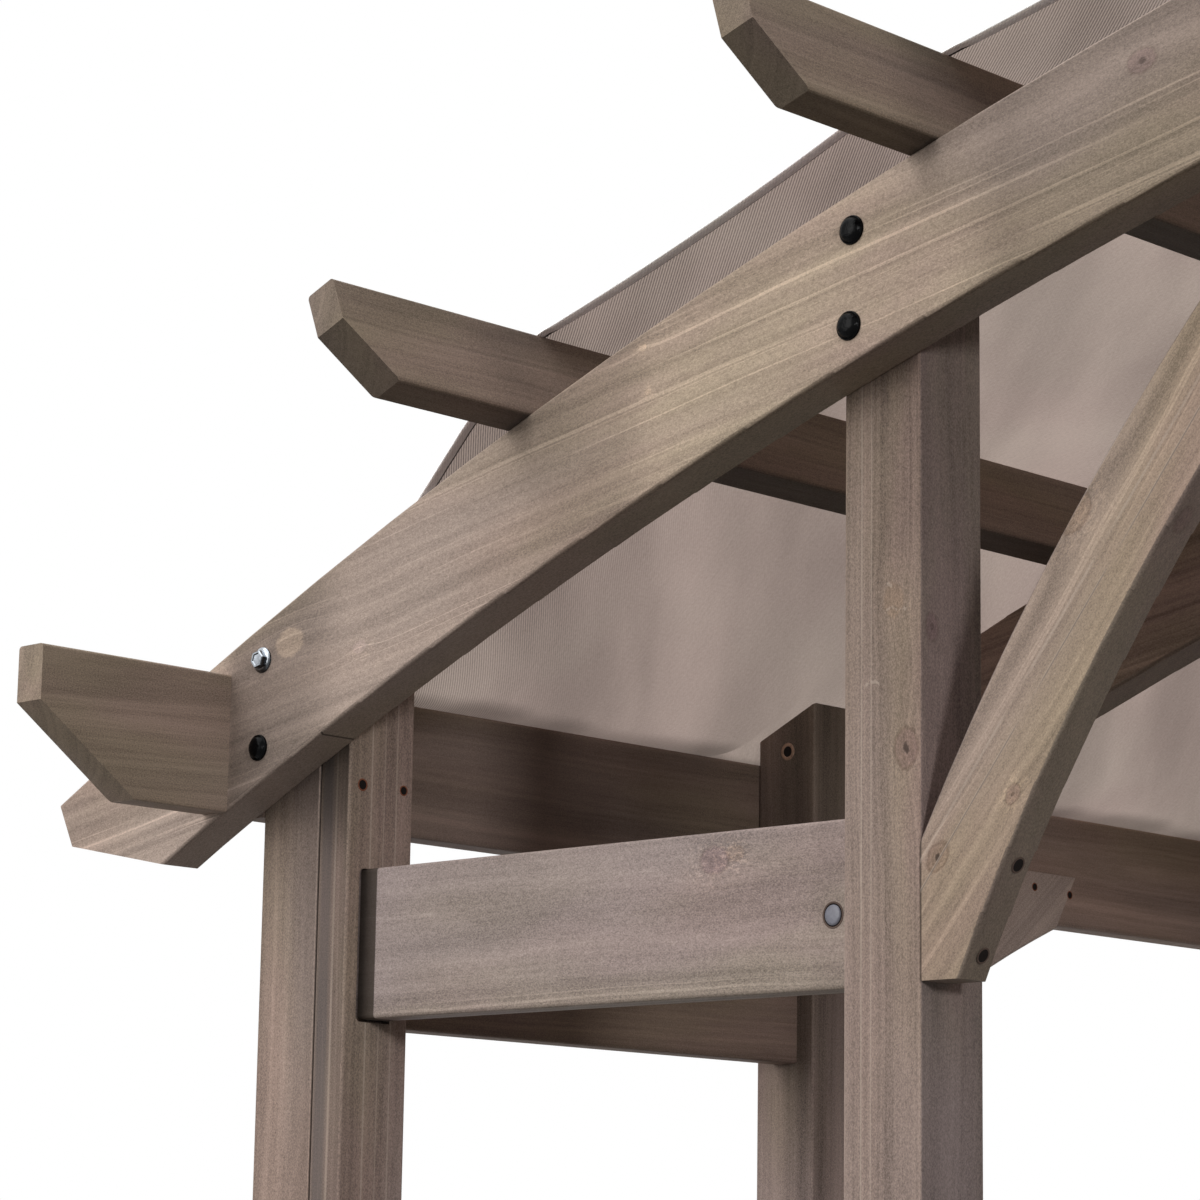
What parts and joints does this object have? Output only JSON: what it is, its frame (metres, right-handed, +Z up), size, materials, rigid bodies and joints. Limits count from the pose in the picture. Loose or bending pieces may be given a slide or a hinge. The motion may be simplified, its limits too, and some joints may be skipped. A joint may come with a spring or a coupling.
{
  "type": "arched pergola",
  "caption": "Open timber pergola with curved arches on L-shaped clusters of posts, purlins across them and a stretched fabric canopy.",
  "frame": {"origin": "centre of the plan at ground level, under the middle of the arches", "axes": "+X across the arch span, +Y along the depth towards the rear, +Z up"},
  "size_m": [6.278, 4.198, 2.9433],
  "materials": {
    "post_timber": "stained",
    "board_timber": "stained",
    "arch_timber": "stained",
    "purlin_timber": "stained",
    "brace_timber": "stained",
    "canopy_cloth": "woven"
  },
  "bodies": {
    "root": {"post_front_left_corner": "post_timber", "post_front_left_inner": "post_timber", "post_front_left_side": "post_timber", "post_front_right_corner": "post_timber", "post_front_right_inner": "post_timber", "post_front_right_side": "post_timber", "post_rear_left_corner": "post_timber", "post_rear_left_inner": "post_timber", "post_rear_left_side": "post_timber", "post_rear_right_corner": "post_timber", "post_rear_right_inner": "post_timber", "post_rear_right_side": "post_timber", "front_corner_stiles": "board_timber", "rear_corner_stiles": "board_timber", "front_rails": "board_timber", "rear_rails": "board_timber", "left_side_rails": "board_timber", "right_side_rails": "board_timber", "front_arch_left": "arch_timber", "front_arch_right": "arch_timber", "front_inner_arch_left": "arch_timber", "front_inner_arch_right": "arch_timber", "rear_inner_arch_left": "arch_timber", "rear_inner_arch_right": "arch_timber", "rear_arch_left": "arch_timber", "rear_arch_right": "arch_timber", "arch_splices": "arch_timber", "eave_beam_left": "board_timber", "eave_beam_right": "board_timber", "front_eave_stubs": "board_timber", "rear_eave_stubs": "board_timber", "ridge_purlins": "purlin_timber", "upper_purlins": "purlin_timber", "middle_purlins": "purlin_timber", "lower_purlins": "purlin_timber", "eave_purlins": "purlin_timber", "front_knee_braces": "brace_timber", "rear_knee_braces": "brace_timber", "left_side_braces": "brace_timber", "right_side_braces": "brace_timber", "canopy": "canopy_cloth"}
  },
  "joints": []
}
